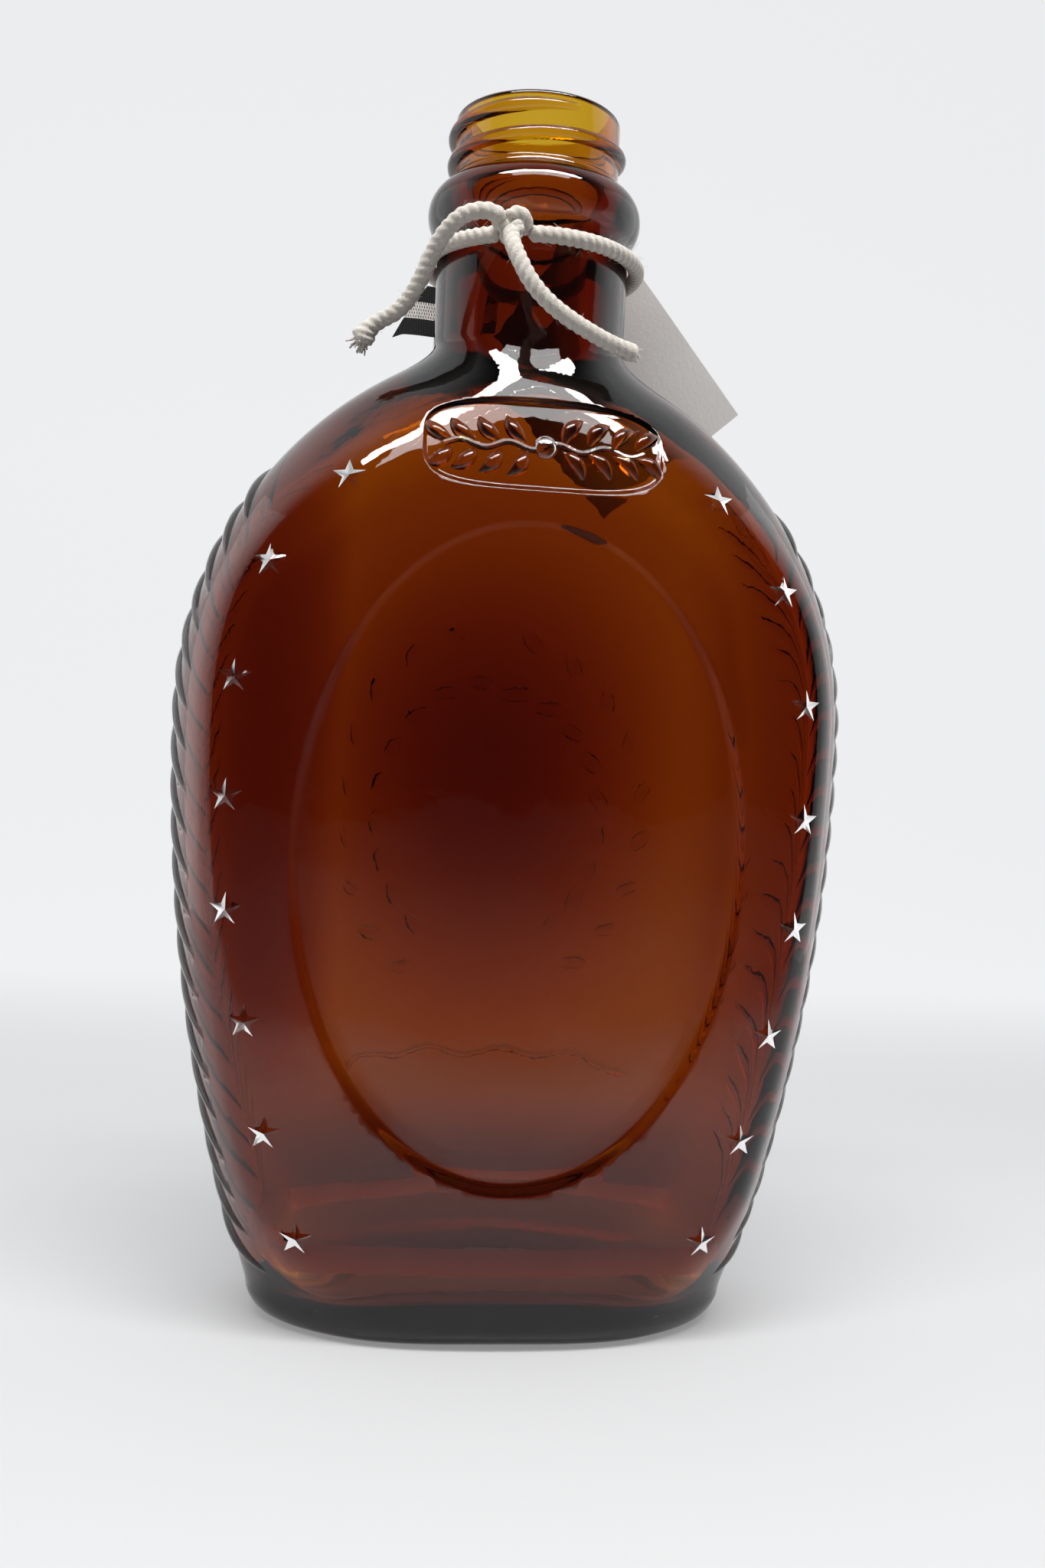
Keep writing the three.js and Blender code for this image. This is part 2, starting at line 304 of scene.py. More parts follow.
def combine(base, tool, operation):
    """base becomes its union with tool, or its difference from it, and tool is removed."""
    modifier = base.modifiers.new("combine", "BOOLEAN")
    modifier.operation = operation
    modifier.solver = "MANIFOLD"
    modifier.object = tool
    depsgraph = bpy.context.evaluated_depsgraph_get()
    result = bpy.data.meshes.new_from_object(base.evaluated_get(depsgraph))
    if len(result.polygons) < 10:
        raise RuntimeError(f"{operation} of {base.name} and {tool.name} left nothing")
    base.modifiers.clear()
    old = base.data
    base.data = result
    bpy.data.meshes.remove(old)
    drop(tool)


# ---- shape of the glass --------------------------------------------------------------------


def outline_depth(x, z):
    """How far a point of the X-Z plane lies inside the flask's outline: the outline is an arc
    of the upper radius above the widest level and one of the lower radius below it."""
    across = np.sqrt(x * x + 9.0) - 0.09
    radius = np.where(z > WIDEST, UPPER_ARC, LOWER_ARC)
    centre = HALF_WIDTH - radius
    return radius - np.hypot(across - centre, z - WIDEST)


def band_rise(z):
    """Half depth of the side band's quarter ellipse at each level: less at the shoulder, and
    less at the foot, where the flask's plan turns into an oval."""
    return 36.0 - 8.0 * smoothstep(z, 105.0, 135.0) - 12.0 * smoothstep(-z, -24.0, -2.0)


def face_depth(x, z, wall=0.0):
    """Half depth of the flask at a point of the X-Z plane. The broad face is a shallow pillow
    that falls off with the square of x and of the height from the widest level. The side
    band is a quarter ellipse of the distance inside the outline. The lower of the two is
    taken, rounded where they meet, which gives the flask its crease."""
    over = np.maximum(z - WIDEST, 0.0)
    under = np.maximum(WIDEST - z, 0.0)
    broad = HALF_DEPTH - 0.0025 * over**2 - 4.6 * (under / WIDEST) ** 2 - 0.0036 * x * x
    depth = np.clip(outline_depth(x, z) - wall, 0.0, HALF_WIDTH)
    band = band_rise(z) * np.sqrt(1.0 - ((HALF_WIDTH - depth) / HALF_WIDTH) ** 2)
    inside = soft_min(broad - wall, band, 2.2)
    return np.where(depth > 0, np.maximum(inside, 0.0), 0.0)


def body_radius(theta, z, wall, neck):
    """Distance from the axis to the glass in each direction theta at each level z: found by
    halving the range where the ray crosses the half depth, then blended into the neck."""
    near = np.zeros(np.broadcast(theta, z).shape)
    far = near + 70.0
    for _ in range(34):
        middle = (near + far) / 2
        x = middle * np.cos(theta)
        outside = middle * np.abs(np.sin(theta)) > face_depth(x, z, wall)
        outside |= outline_depth(x, z) < wall
        near = np.where(outside, near, middle)
        far = np.where(outside, middle, far)
    return soft_max(near, neck, 6.0 if wall == 0 else 5.0)


def directions(columns):
    """Directions of the grid's columns, spread evenly along an ellipse of the body's
    proportions, with more of them on the back face than on the front."""
    turn = 2 * math.pi * np.arange(columns) / columns
    turn = turn + 0.22 * np.cos(turn)
    return np.arctan2(0.52 * np.sin(turn), np.cos(turn))


def glass_rings(columns, wall):
    """Rings of the outer skin from the middle of the base up to the rim, then of the inner
    skin down to the floor. Body rings follow body_radius; the collar is part of a torus; the
    finish is a cylinder with a small step under it. The inner skin stands further in at the
    middle of the broad faces, at their margins and near the foot, where the glass is thick."""
    theta = directions(columns)
    flat = np.stack([np.cos(theta), np.sin(theta)], axis=1)

    def body(level, inset=0.0, inside=0.0, neck=NECK, at=None):
        radius = body_radius(theta, np.full(columns, float(level)), inside, neck)
        radius = radius - inset
        height = np.full(columns, float(level if at is None else at))
        return np.column_stack([flat * radius[:, None], height])

    def circle(radius, height):
        return np.column_stack([flat * radius, np.full(columns, float(height))])

    rings = []
    foot = body(HEEL, FOOT_INSET, at=0.0)
    middle = foot.mean(axis=0)
    for share, rise in ((0.15, 1.75), (0.45, 1.7), (0.75, 1.6), (0.9, 1.25), (0.96, 0.5)):
        ring = middle + (foot - middle) * share
        ring[:, 2] = rise
        rings.append(ring)
    rings.append(foot)
    for step in range(10):
        angle = math.pi / 2 * step / 10
        level = HEEL * (1 - math.cos(angle))
        rings.append(body(HEEL, HEEL * (1 - math.sin(angle)), at=level))
    levels = np.concatenate(
        [
            np.linspace(HEEL, 128.0, 72, endpoint=False),
            np.linspace(128.0, 150.0, 56, endpoint=False),
            np.linspace(150.0, 154.0, 5),
        ]
    )
    rings.extend(body(level) for level in levels)
    rings.append(circle(NECK, 160.0))
    low = -math.acos((NECK - COLLAR_RING) / COLLAR_TUBE)
    high = math.acos((FINISH + 0.45 - COLLAR_RING) / COLLAR_TUBE)
    rings.append(circle(NECK, COLLAR_Z + COLLAR_TUBE * math.sin(low) - 0.5))
    for angle in np.linspace(low + 0.12, high, 26):
        rings.append(
            circle(
                COLLAR_RING + COLLAR_TUBE * math.cos(angle),
                COLLAR_Z + COLLAR_TUBE * math.sin(angle),
            )
        )
    top = COLLAR_Z + COLLAR_TUBE * math.sin(high)
    rings.append(circle(FINISH + 0.4, top + 0.5))
    rings.append(circle(FINISH + 0.12, top + 0.8))
    rings.append(circle(FINISH, top + 1.2))
    rings.append(circle(FINISH - 0.05, 178.0))
    for angle in np.linspace(0.0, math.pi / 2, 6):
        rings.append(
            circle(FINISH - 0.75 + 0.7 * math.cos(angle), HEIGHT - 0.7 + 0.7 * math.sin(angle))
        )
    for angle in np.linspace(math.pi / 2, math.pi, 6):
        rings.append(
            circle(BORE + 0.75 + 0.75 * math.cos(angle), HEIGHT - 0.7 + 0.7 * math.sin(angle))
        )
    rings.append(circle(BORE, 176.0))
    rings.append(circle(BORE - 0.1, 171.0))
    rings.append(circle(BORE - 1.2, 166.0))
    rings.append(circle(BORE - 2.0, 161.0))
    rings.append(circle(BORE - 2.0, 156.0))
    throat = BORE - 1.8
    for level in np.concatenate([np.linspace(151.0, 130.0, 16), np.linspace(126.0, 14.0, 24)]):
        ring = body(level, inside=wall, neck=throat)
        x = ring[:, 0]
        thick = 3.8 * np.exp(-(((x + 4.0) / 23.0) ** 2) - ((level - 84.0) / 29.0) ** 2)
        margin = 3.6 * smoothstep(-x, 24.0, 38.0) + 2.4 * smoothstep(x, 27.0, 40.0)
        thick += margin * smoothstep(level, 18.0, 55.0)
        thick += 4.0 * smoothstep(-level, -36.0, -12.0)
        ring[:, 1] *= 1.0 - thick / 19.0
        rings.append(ring)
    for angle in np.linspace(0.15, math.pi / 2, 7):
        drop_by = FLOOR_CORNER * math.sin(angle)
        rings.append(
            body(12.0, FLOOR_CORNER * (1 - math.cos(angle)), wall, 0.01, at=11.4 - drop_by)
        )
    last = rings[-1]
    centre = last.mean(axis=0)
    for share in (0.7, 0.35):
        ring = centre + (last - centre) * share
        ring[:, 2] = centre[2] - 0.25
        rings.append(ring)
    return np.stack(rings)


def thread_parts():
    """The thread: a rounded rib on a right-handed helix that falls by the pitch each turn
    and fades at both ends."""
    turned = np.linspace(0.0, 2 * math.pi * THREAD_TURNS, 150)
    azimuth = -1.2 - turned
    fade = np.clip(np.minimum(turned / 0.7, (turned[-1] - turned) / 0.7), 0.02, 1.0)
    height = THREAD_TOP - THREAD_PITCH * turned / (2 * math.pi)
    angle = np.linspace(0, 2 * math.pi, 14, endpoint=False)
    crest = 1.1 * fade**0.6
    radius = FINISH - 0.35 + np.outer(crest + 0.35, np.cos(angle).clip(-0.4, 1.0))
    up = 1.15 * np.outer(0.55 + 0.45 * fade, np.sin(angle))
    ring = np.stack(
        [
            radius * np.cos(azimuth)[:, None],
            radius * np.sin(azimuth)[:, None],
            height[:, None] + up,
        ],
        axis=-1,
    )
    return [closed_skin(ring)]


def outline_path():
    """Points along the right half of the outline from the foot to the shoulder, a millimetre
    or less apart, with the outward normal at each."""
    low = np.arange(5.5, WIDEST, 0.25)
    high = WIDEST + UPPER_ARC * np.sin(np.arange(0.0, 0.80, 0.004))
    z = np.concatenate([low, high])
    radius = np.where(z > WIDEST, UPPER_ARC, LOWER_ARC)
    centre = HALF_WIDTH - radius
    x = centre + np.sqrt(radius**2 - (z - WIDEST) ** 2)
    normal = np.stack([x - centre, z - WIDEST], axis=1)
    return np.stack([x, z], axis=1), normal / np.linalg.norm(normal, axis=1)[:, None]


def rope_parts():
    """The rope moulding on both narrow sides: a row of slanted strands along the outline.
    Each is a spindle that crosses the side from front to back, follows the side band's
    quarter ellipse and has its middle line just under the surface of the glass."""
    path, normals = outline_path()
    length = np.concatenate([[0], np.cumsum(np.linalg.norm(np.diff(path, axis=0), axis=1))])
    share = np.linspace(-1.0, 1.0, 27)
    back = ROPE_REACH * share
    thick = 1.62 * np.sqrt(np.clip(1.0 - share**2, 0.01, 1.0))
    parts = []
    for place in np.arange(10.5, length[-1] - 6.0, ROPE_PITCH):
        reach = np.clip(place + 0.8 * back, 0.0, length[-1])
        x, z = (np.interp(reach, length, path[:, axis]) for axis in (0, 1))
        nx, nz = (np.interp(reach, length, normals[:, axis]) for axis in (0, 1))
        sunk = HALF_WIDTH * (1.0 - np.sqrt(1.0 - (back / band_rise(z)) ** 2)) + 0.85
        for mirror in (1, -1):
            line = np.stack([mirror * (x - nx * sunk), back, z - nz * sunk], axis=1)
            parts.append(closed_skin(tube_rings(line, thick, 12)))
    return parts


def on_face(x, z, lift):
    """Points on the front face, raised towards the viewer by lift."""
    return np.stack([x, -face_depth(x, z) - lift, z], axis=-1)


def star_parts():
    """Sixteen raised five-pointed stars down the margins of the front face: each has a
    raised centre and straight folds to its tips, with its base sunk in the glass."""
    angle = math.pi / 2 + math.pi * np.arange(10) / 5
    reach = np.where(np.arange(10) % 2 == 0, 2.45, 1.0)
    parts = []
    for x, z in STARS:
        for mirror in (1, -1):
            across = x * mirror + reach * np.cos(angle)
            up = z + reach * np.sin(angle)
            base = on_face(across[::-1], up[::-1], -0.9)
            edge = on_face(across[::-1], up[::-1], 0.06)
            crest = on_face(np.array([x * mirror]), np.array([z]), 0.5)
            points = np.concatenate([base, edge, crest])
            column = np.arange(10)
            beside = (column + 1) % 10
            sides = np.stack([column, beside, beside + 10, column + 10], axis=-1)
            roof = np.stack([column + 10, beside + 10, np.full(10, 20)], axis=-1)
            floor = column[None, ::-1]
            parts.append((points, [sides, roof, floor]))
    return parts


def recess_parts(centre, half, power, depth_low, depth_high, slope):
    """A cutter for a sunk panel with a superellipse outline on the front face: its inner
    side follows the face at the given depth, deeper at the lower end, and slopes up to the
    edge. Its outer side is clear of the glass."""
    angle = np.linspace(0, 2 * math.pi, 220, endpoint=False)
    unit_x = np.sign(np.cos(angle)) * np.abs(np.cos(angle)) ** (2 / power)
    unit_z = np.sign(np.sin(angle)) * np.abs(np.sin(angle)) ** (2 / power)
    shrink = np.linspace(0.02, 0.93, 17)
    rim = np.linspace(1.0, 0.0, 7)
    rings = []
    for share in shrink:
        rings.append((share * (half[0] - slope), share * (half[1] - slope), 1.0))
    for share in rim:
        rings.append((half[0] - slope * share, half[1] - slope * share, share))
    layers = []
    for wide, tall, share in rings:
        x = centre[0] + wide * unit_x
        z = centre[1] + tall * unit_z
        low = (half[1] - (z - centre[1])) / (2 * half[1])
        depth = depth_high + (depth_low - depth_high) * np.clip(low, 0, 1)
        ease = share * share * (3 - 2 * share)
        layers.append(on_face(x, z, 0.12 - (depth + 0.12) * ease))
    for share in np.linspace(1.0, 0.02, 12):
        x = centre[0] + share * half[0] * unit_x
        z = centre[1] + share * half[1] * unit_z
        layers.append(on_face(x, z, 3.0))
    return [closed_skin(np.stack(layers))]


def leaf_part(x, z, angle, length, width, lift, side=-1):
    """A leaf in low relief on the front face (side -1) or the back (side 1): a spindle from
    (x, z) that leaves at an angle from the X axis, with its middle lifted off the face."""
    share = np.linspace(0.02, 0.98, 14)
    bow = 0.12 * length * np.sin(math.pi * share)
    across = x + length * share * math.cos(angle) - bow * math.sin(angle)
    up = z + length * share * math.sin(angle) + bow * math.cos(angle)
    path = on_face(across, up, lift)
    path[:, 1] *= -side
    return closed_skin(tube_rings(path, width * np.sin(math.pi * share) ** 0.8 + 0.05, 12))


def ornament_parts():
    """A leafy sprig on the floor of the cartouche: a wavy stem, leaves in mirrored pairs
    above and below it, and a round berry in the middle."""
    x = np.linspace(-14.5, 14.5, 80)
    stem = 129.6 + 0.5 * np.sin(x * 0.9)
    parts = [closed_skin(tube_rings(on_face(x + 0.8, stem, -0.5), 0.5, 8))]
    for place in (2.6, 6.2, 9.8, 13.2):
        for mirror in (1, -1):
            for above in (1, -1):
                turn = math.radians(58 - 1.6 * place) * above
                angle = turn if mirror == 1 else math.pi - turn
                leaf = leaf_part(
                    0.8 + mirror * place, 129.6 + 0.5 * above, angle, 5.0, 1.15, -0.75
                )
                parts.append(leaf)
    turn = np.linspace(0, 2 * math.pi, 24, endpoint=False)
    rings = [
        on_face(0.8 + reach * np.cos(turn), 129.6 + reach * np.sin(turn), lift)[::-1]
        for reach, lift in ((1.7, -1.4), (1.75, -0.5), (1.45, 0.0), (0.9, 0.3), (0.2, 0.42))
    ]
    parts.append(closed_skin(np.stack(rings)))
    return parts


def rear_parts():
    """Low relief on the back: a wavy ground line with turned-down ends, and two curved
    sprays of soft leaves that rise from it and nearly meet at the top."""
    x = np.linspace(-24, 24, 90)
    z = 37.5 - 4.5 * (np.abs(x) / 24) ** 4 + 0.7 * np.sin(x * 0.55)
    path = np.stack([x, face_depth(x, z) - 0.25, z], axis=1)
    parts = [closed_skin(tube_rings(path, 0.62, 8))]
    for step in range(9):
        turn = math.radians(-62 + 16.5 * step)
        for mirror in (1, -1):
            for off, lean in ((1.6, 38), (-1.6, -30)):
                reach = 19.0 + off
                x = mirror * reach * math.cos(turn)
                z = 76.0 + 1.25 * reach * math.sin(turn)
                angle = turn + math.pi / 2 - math.radians(lean)
                angle = angle if mirror == 1 else math.pi - angle
                parts.append(leaf_part(x, z, angle, 7.5, 1.5, -1.05, 1))
    return parts


# ---- shaders -------------------------------------------------------------------------------


class Wire:
    """An output socket in a shader, with arithmetic written as in ordinary sums."""

    def __init__(self, graph, socket):
        self.graph = graph
        self.socket = socket

    def maths(self, operation, *terms):
        return self.graph.add("ShaderNodeMath", {"operation": operation}, [self, *terms])

    def __add__(self, other):
        return self.maths("ADD", other)

    def __sub__(self, other):
        return self.maths("SUBTRACT", other)

    def __mul__(self, other):
        return self.maths("MULTIPLY", other)

    def __lt__(self, other):
        return self.maths("LESS_THAN", other)

    def __gt__(self, other):
        return self.maths("GREATER_THAN", other)


class Graph:
    """The node tree of a material or of the world, built one node at a time."""

    def __init__(self, owner, output):
        owner.use_nodes = True
        self.tree = owner.node_tree
        self.tree.nodes.clear()
        self.owner = owner
        self.output = self.tree.nodes.new(output)

    @classmethod
    def of_material(cls, name):
        """The tree of a new material."""
        return cls(bpy.data.materials.new(name), "ShaderNodeOutputMaterial")

    def add(self, kind, settings=None, values=(), output=0):
        """Adds a node of this type, sets its settings and its inputs, by name or in order,
        to values or wires, and returns one of its outputs."""
        node = self.tree.nodes.new(kind)
        for key, value in (settings or {}).items():
            setattr(node, key, value)
        pairs = values.items() if isinstance(values, dict) else enumerate(values)
        for key, value in pairs:
            if isinstance(value, Wire):
                self.tree.links.new(value.socket, node.inputs[key])
            elif value is not None:
                node.inputs[key].default_value = value
        return Wire(self, node.outputs[output])

    def place(self):
        """The object's own coordinates, in metres."""
        return self.add("ShaderNodeTexCoord", output="Object")

    def split(self, vector):
        """The three numbers of a vector."""
        first = self.add("ShaderNodeSeparateXYZ", None, [vector])
        return [Wire(self, socket) for socket in first.socket.node.outputs]

    def ramp(self, value, start, end, low=0.0, high=1.0):
        """An eased step from low to high as the value goes from start to end."""
        return self.add(
            "ShaderNodeMapRange",
            {"interpolation_type": "SMOOTHSTEP"},
            {
                "Value": value,
                "From Min": start,
                "From Max": end,
                "To Min": low,
                "To Max": high,
            },
        )

    def noise(self, scale, detail, roughness=0.5):
        """A noise value from 0 to 1."""
        values = {
            "Vector": self.place(),
            "Scale": scale,
            "Detail": detail,
            "Roughness": roughness,
        }
        return self.add("ShaderNodeTexNoise", None, values)

    def mix(self, share, first, second):
        """A colour between two colours."""
        settings = {"data_type": "RGBA"}
        return self.add(
            "ShaderNodeMix", settings, {0: share, 6: first, 7: second}, output=2
        )

    def bump(self, height, strength, distance):
        """A normal from a height."""
        values = {"Strength": strength, "Distance": distance, "Height": height}
        return self.add("ShaderNodeBump", None, values)

    def surface(self, values):
        """The material's one shader."""
        shader = self.add("ShaderNodeBsdfPrincipled", None, values)
        self.tree.links.new(shader.socket, self.output.inputs["Surface"])

    def volume(self, color, density):
        """Even absorption inside the piece."""
        inside = self.add("ShaderNodeVolumeAbsorption", None, {"Color": color, "Density": density})
        self.tree.links.new(inside.socket, self.output.inputs["Volume"])


def rgba(color):
    """A colour property with full alpha."""
    return (color[0], color[1], color[2], 1.0)


def glass_material(settings):
    """Clear amber glass with the slow ripple and the fine chill marks of a pressed bottle."""
    graph = Graph.of_material("amber_glass")
    slow = graph.noise(55.0, 1.0)
    fine = graph.noise(420.0, 2.0)
    ripple = graph.bump(slow * 0.85 + fine * 0.06, 0.35, 0.0012)
    graph.surface(
        {
            "Base Color": (1.0, 1.0, 1.0, 1.0),
            "Roughness": 0.015,
            "IOR": 1.52,
            "Transmission Weight": 1.0,
            "Normal": ripple,
        }
    )
    graph.volume(rgba(settings.tint), settings.density)
    return graph.owner


def cotton_material(settings):
    """Undyed cotton: soft, with painted shade in the hollows between the fibres and a slow uneven
    tone of its own.
    """
    graph = Graph.of_material("cotton")
    fibre = graph.noise(2600.0, 4.0, roughness=0.7)
    tone = graph.noise(240.0, 2.0)
    # painted shade: where the fibre bump is low, between the fibres, the colour goes to the shade
    # colour; the slower tone noise is the cotton's own uneven tone
    color = graph.mix(fibre * 0.6 + tone * 0.3, rgba(settings.shade), rgba(settings.color))
    graph.surface(
        {
            "Base Color": color,
            "Roughness": 0.95,
            "Sheen Weight": 0.25,
            "Sheen Roughness": 0.5,
            "Specular IOR Level": 0.15,
            "Normal": graph.bump(fibre, 0.6, 0.00035),
        }
    )
    return graph.owner


def card_material(settings):
    """Uncoated grey card with paper fibres and slightly soiled patches."""
    graph = Graph.of_material("card")
    fibre = graph.noise(1500.0, 5.0, roughness=0.65)
    soil = graph.noise(70.0, 3.0)
    color = graph.mix(soil * 0.5 + fibre * 0.5, rgba(settings.shade), rgba(settings.color))
    graph.surface(
        {
            "Base Color": color,
            "Roughness": 0.85,
            "Specular IOR Level": 0.25,
            "Normal": graph.bump(fibre, 0.25, 0.0002),
        }
    )
    return graph.owner


def ribbon_material(settings):
    """Ribbed woven ribbon, from its own u (along, in ribbon widths) and v (across): black
    edge bands, and a white middle band with rows of short dark stitches."""
    graph = Graph.of_material("ribbon_weave")
    uv = graph.add("ShaderNodeUVMap", {"uv_map": "weave"})
    u, v, _ = graph.split(uv)
    from_middle = (v - 0.5).maths("ABSOLUTE")
    middle = from_middle < 0.168
    row = (v * 15.0).maths("FLOOR")
    phase = (u * 24.0 + row * 0.5).maths("FRACT")
    across = (v * 15.0).maths("FRACT")
    stitch = (phase < 0.42) * (across > 0.3)
    rib = (u * 48.0 * 3.14159).maths("SINE")
    pale = graph.mix(stitch * 0.8, rgba(settings.light), rgba(settings.dark))
    color = graph.mix(middle, rgba(settings.dark), pale)
    height = rib * 0.5 + (v * 60.0 * 3.14159).maths("SINE") * 0.25
    graph.surface(
        {
            "Base Color": color,
            "Roughness": 0.75,
            "Specular IOR Level": 0.3,
            "Normal": graph.bump(height, 0.7, 0.0002),
        }
    )
    return graph.owner


def lamp_material(color, strength):
    """The glowing face of a small lamp."""
    graph = Graph.of_material("lamp")
    graph.surface(
        {
            "Base Color": rgba(color),
            "Roughness": 0.5,
            "Specular IOR Level": 0.1,
            "Emission Color": rgba(color),
            "Emission Strength": strength,
        }
    )
    return graph.owner


# ---- the add-on's settings -----------------------------------------------------------------


class FlaskGlassSettings(bpy.types.PropertyGroup):
    """Sizes and colour of the glass."""

    wall: FloatProperty(
        name="Wall", description="Thickness of the glass", default=0.0046, unit="LENGTH"
    )
    columns: IntProperty(
        name="Columns", description="Facets round the flask", default=320, min=64, max=400
    )
    tint: FloatVectorProperty(
        name="Tint",
        description="Colour the glass lets through",
        default=(0.885, 0.748, 0.0),
        subtype="COLOR",
        min=0.0,
        max=1.0,
    )
    density: FloatProperty(
        name="Density", description="Strength of the tint, per metre", default=1500.0
    )


class FlaskCordSettings(bpy.types.PropertyGroup):
    """Size and colours of the cotton cord."""

    diameter: FloatProperty(
        name="Diameter", description="Thickness of the cord", default=0.0025, unit="LENGTH"
    )
    color: FloatVectorProperty(
        name="Colour",
        description="Outside of the fibres",
        default=(0.86, 0.82, 0.76),
        subtype="COLOR",
    )
    # painted shade: colour of the hollows between the fibres, where the fibre bump is low
    shade: FloatVectorProperty(
        name="Shade",
        description="Between the fibres",
        default=(0.55, 0.49, 0.42),
        subtype="COLOR",
    )


class FlaskTagSettings(bpy.types.PropertyGroup):
    """Size and colours of the hang tag."""

    width: FloatProperty(name="Width", description="Card width", default=0.031, unit="LENGTH")
    length: FloatProperty(name="Length", description="Card length", default=0.037, unit="LENGTH")
    color: FloatVectorProperty(
        name="Colour", description="Card", default=(0.84, 0.81, 0.79), subtype="COLOR"
    )
    shade: FloatVectorProperty(
        name="Shade", description="Soiled card", default=(0.68, 0.65, 0.63), subtype="COLOR"
    )


class FlaskRibbonSettings(bpy.types.PropertyGroup):
    """Size and colours of the ribbon."""

    width: FloatProperty(name="Width", description="Ribbon width", default=0.010, unit="LENGTH")
    dark: FloatVectorProperty(
        name="Dark", description="Edge bands", default=(0.006, 0.006, 0.007), subtype="COLOR"
    )
    light: FloatVectorProperty(
        name="Light", description="Middle band", default=(0.72, 0.69, 0.66), subtype="COLOR"
    )


class FlaskStageSettings(bpy.types.PropertyGroup):
    """The studio."""

    floor: FloatVectorProperty(
        name="Floor",
        description="Colour of the floor and the sweep behind it",
        default=(0.44, 0.442, 0.446),
        subtype="COLOR",
    )
    backdrop: FloatVectorProperty(
        name="Backdrop",
        description="Light that comes through the lit sweep",
        default=(0.83, 0.835, 0.845),
        subtype="COLOR",
    )
    softbox: FloatProperty(
        name="Softbox", description="Power of the softbox overhead", default=1.8, unit="POWER"
    )
    sides: FloatProperty(
        name="Sides", description="Power of each side panel", default=0.2, unit="POWER"
    )
    fill: FloatProperty(
        name="Fill", description="Power of the light high in front", default=1.7, unit="POWER"
    )
    sky: FloatProperty(name="Sky", description="Strength of the pale surroundings", default=0.8)


# ---- the pieces ----------------------------------------------------------------------------


def finish_piece(obj, material, body, nodes, sharp=None):
    """Gives a piece its material and its body, and hides the CAD nodes it stands for."""
    obj.data.materials.clear()
    obj.data.materials.append(material)
    if sharp is not None:
        obj.data.shade_smooth()
        obj.data.set_sharp_from_angle(angle=math.radians(sharp))
    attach(obj, body)
    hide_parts(*nodes)


class FLASK_OT_glass(bpy.types.Operator):
    """Makes the glass flask"""

    bl_idname = "flask.glass"
    bl_label = "Glass flask"

    def execute(self, context):
        settings = context.scene.flask_glass
        rings = glass_rings(settings.columns, settings.wall / MM)
        glass = object_from("glass_flask", *closed_skin(rings))
        steps = (
            (recess_parts(PANEL_CENTRE, PANEL_HALF, 2.0, 0.95, 0.45, 2.3), "DIFFERENCE"),
            (recess_parts((0.8, 129.9), (17.8, 7.1), 3.6, 0.6, 0.5, 1.1), "DIFFERENCE"),
            (thread_parts(), "UNION"),
            (rope_parts(), "UNION"),
            (star_parts(), "UNION"),
            (ornament_parts(), "UNION"),
            (rear_parts(), "UNION"),
        )
        for parts, operation in steps:
            tool = object_from("flask_tool", *gather(parts))
            combine(glass, tool, operation)
        finish_piece(
            glass, glass_material(settings), "flask", ["glass_bottle"], 38
        )
        return {"FINISHED"}


def strand_profile(length, sides, radius):
    """Radius per point and side of a three-ply cord: three lobes that wind along it, once
    round in the length of the cord's lay."""
    angle = 2 * math.pi * np.arange(sides)[None, :] / sides
    wind = 2 * math.pi * length[:, None] / CORD_LAY
    lobe = np.abs(np.cos(1.5 * (angle - wind)))
    return radius * (0.81 + 0.19 * lobe**0.8)


def cord_mesh(line, radius, flare=0.0):
    """A three-ply cord along a line. flare widens its far end."""
    step = np.linalg.norm(np.diff(line, axis=0), axis=1)
    length = np.concatenate([[0], np.cumsum(step)])
    profile = strand_profile(length, 30, radius)
    rounding = np.minimum(length, length[-1] - length) / (0.6 * radius)
    profile = profile * np.sqrt(np.clip(rounding, 0.06, 1.0))[:, None]
    near_end = smoothstep(length, length[-1] - 4.0, length[-1] - 0.5)
    profile = profile * (1 + flare * near_end)[:, None]
    return closed_skin(tube_rings(line, profile, 30))


def fibres(line, count, seed, reach, radius, spread):
    """Short stray fibres that leave the cord's surface at random places and bend away from
    it. spread is the range of the line, as shares of its length, where they grow."""
    random = np.random.default_rng(seed)
    tangent, side, up = frames_along(line)
    parts = []
    for _ in range(count):
        index = int(random.uniform(*spread) * (len(line) - 1))
        turn = random.uniform(0, 2 * math.pi)
        out = math.cos(turn) * side[index] + math.sin(turn) * up[index]
        lean = random.uniform(-1.0, 1.0)
        bend = random.uniform(-0.6, 0.6, 3)
        share = np.linspace(0, 1, 6)[:, None]
        start = line[index] + out * radius * 0.85
        direction = out * random.uniform(0.3, 1.0) + tangent[index] * lean
        path = start + reach * share * direction + bend * reach * share**2
        parts.append(closed_skin(tube_rings(path, 0.022, 3)))
    return parts


def fray(line, seed, count, length, spread):
    """Loose fibre bundles past a cut end: they start inside the cord, spread as a brush and
    curl by a random amount."""
    random = np.random.default_rng(seed)
    tangent, side, up = frames_along(line)
    parts = []
    for _ in range(count):
        turn = random.uniform(0, 2 * math.pi)
        out = math.cos(turn) * side[-1] + math.sin(turn) * up[-1]
        start = line[-1] - tangent[-1] * 0.9 + out * random.uniform(0.1, 0.9)
        share = np.linspace(0, 1, 8)[:, None]
        reach = length * random.uniform(0.5, 1.0)
        bend = random.uniform(-0.6, 0.6, 3)
        path = start + reach * share * (tangent[-1] + out * spread * random.uniform(0, 1))
        path = path + bend * reach * share**2 * 0.7
        parts.append(closed_skin(tube_rings(path, random.uniform(0.07, 0.17), 5)))
    return parts


